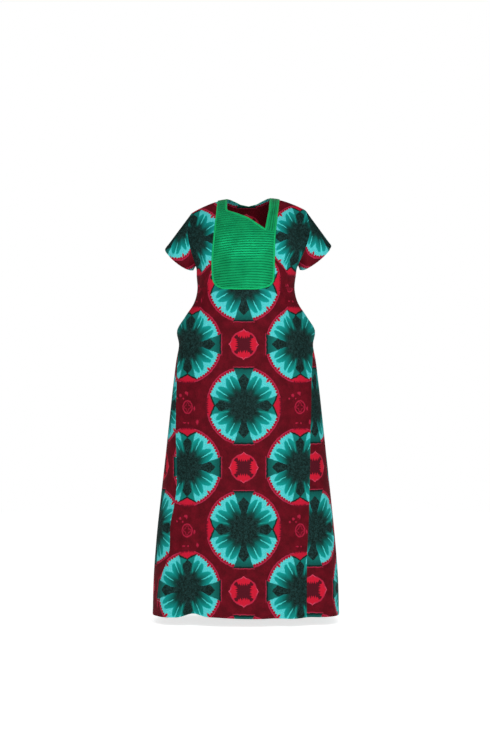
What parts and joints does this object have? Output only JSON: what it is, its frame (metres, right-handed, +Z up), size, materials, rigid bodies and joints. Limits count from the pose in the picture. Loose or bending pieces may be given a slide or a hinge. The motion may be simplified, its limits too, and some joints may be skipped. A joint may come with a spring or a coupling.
{
  "type": "grand boubou robe",
  "caption": "Full-length worn-shaped robe with short wide sleeves, flared side panels, side pockets and a pin-tucked bib with an asymmetric notched neckline.",
  "frame": {"origin": "between the two shoulders, at the height of the shoulder seams where the robe is held when worn", "axes": "+Z up, the front faces -Y, +X towards the viewer's right"},
  "size_m": [0.647, 0.422, 1.4509],
  "materials": {
    "print_cloth": "lightly glazed printed cotton",
    "bib_cloth": "satin, pin-tucked",
    "binding_cloth": "satin bias binding"
  },
  "bodies": {
    "root": {"front_panel": "print_cloth", "back_panel": "print_cloth", "side_panel_left": "print_cloth", "side_panel_right": "print_cloth", "sleeve_left": "print_cloth", "sleeve_right": "print_cloth", "pocket_left": "print_cloth", "pocket_right": "print_cloth", "bib": "bib_cloth", "bib_strap": "bib_cloth", "bib_binding": "binding_cloth", "neck_binding": "binding_cloth"}
  },
  "joints": []
}
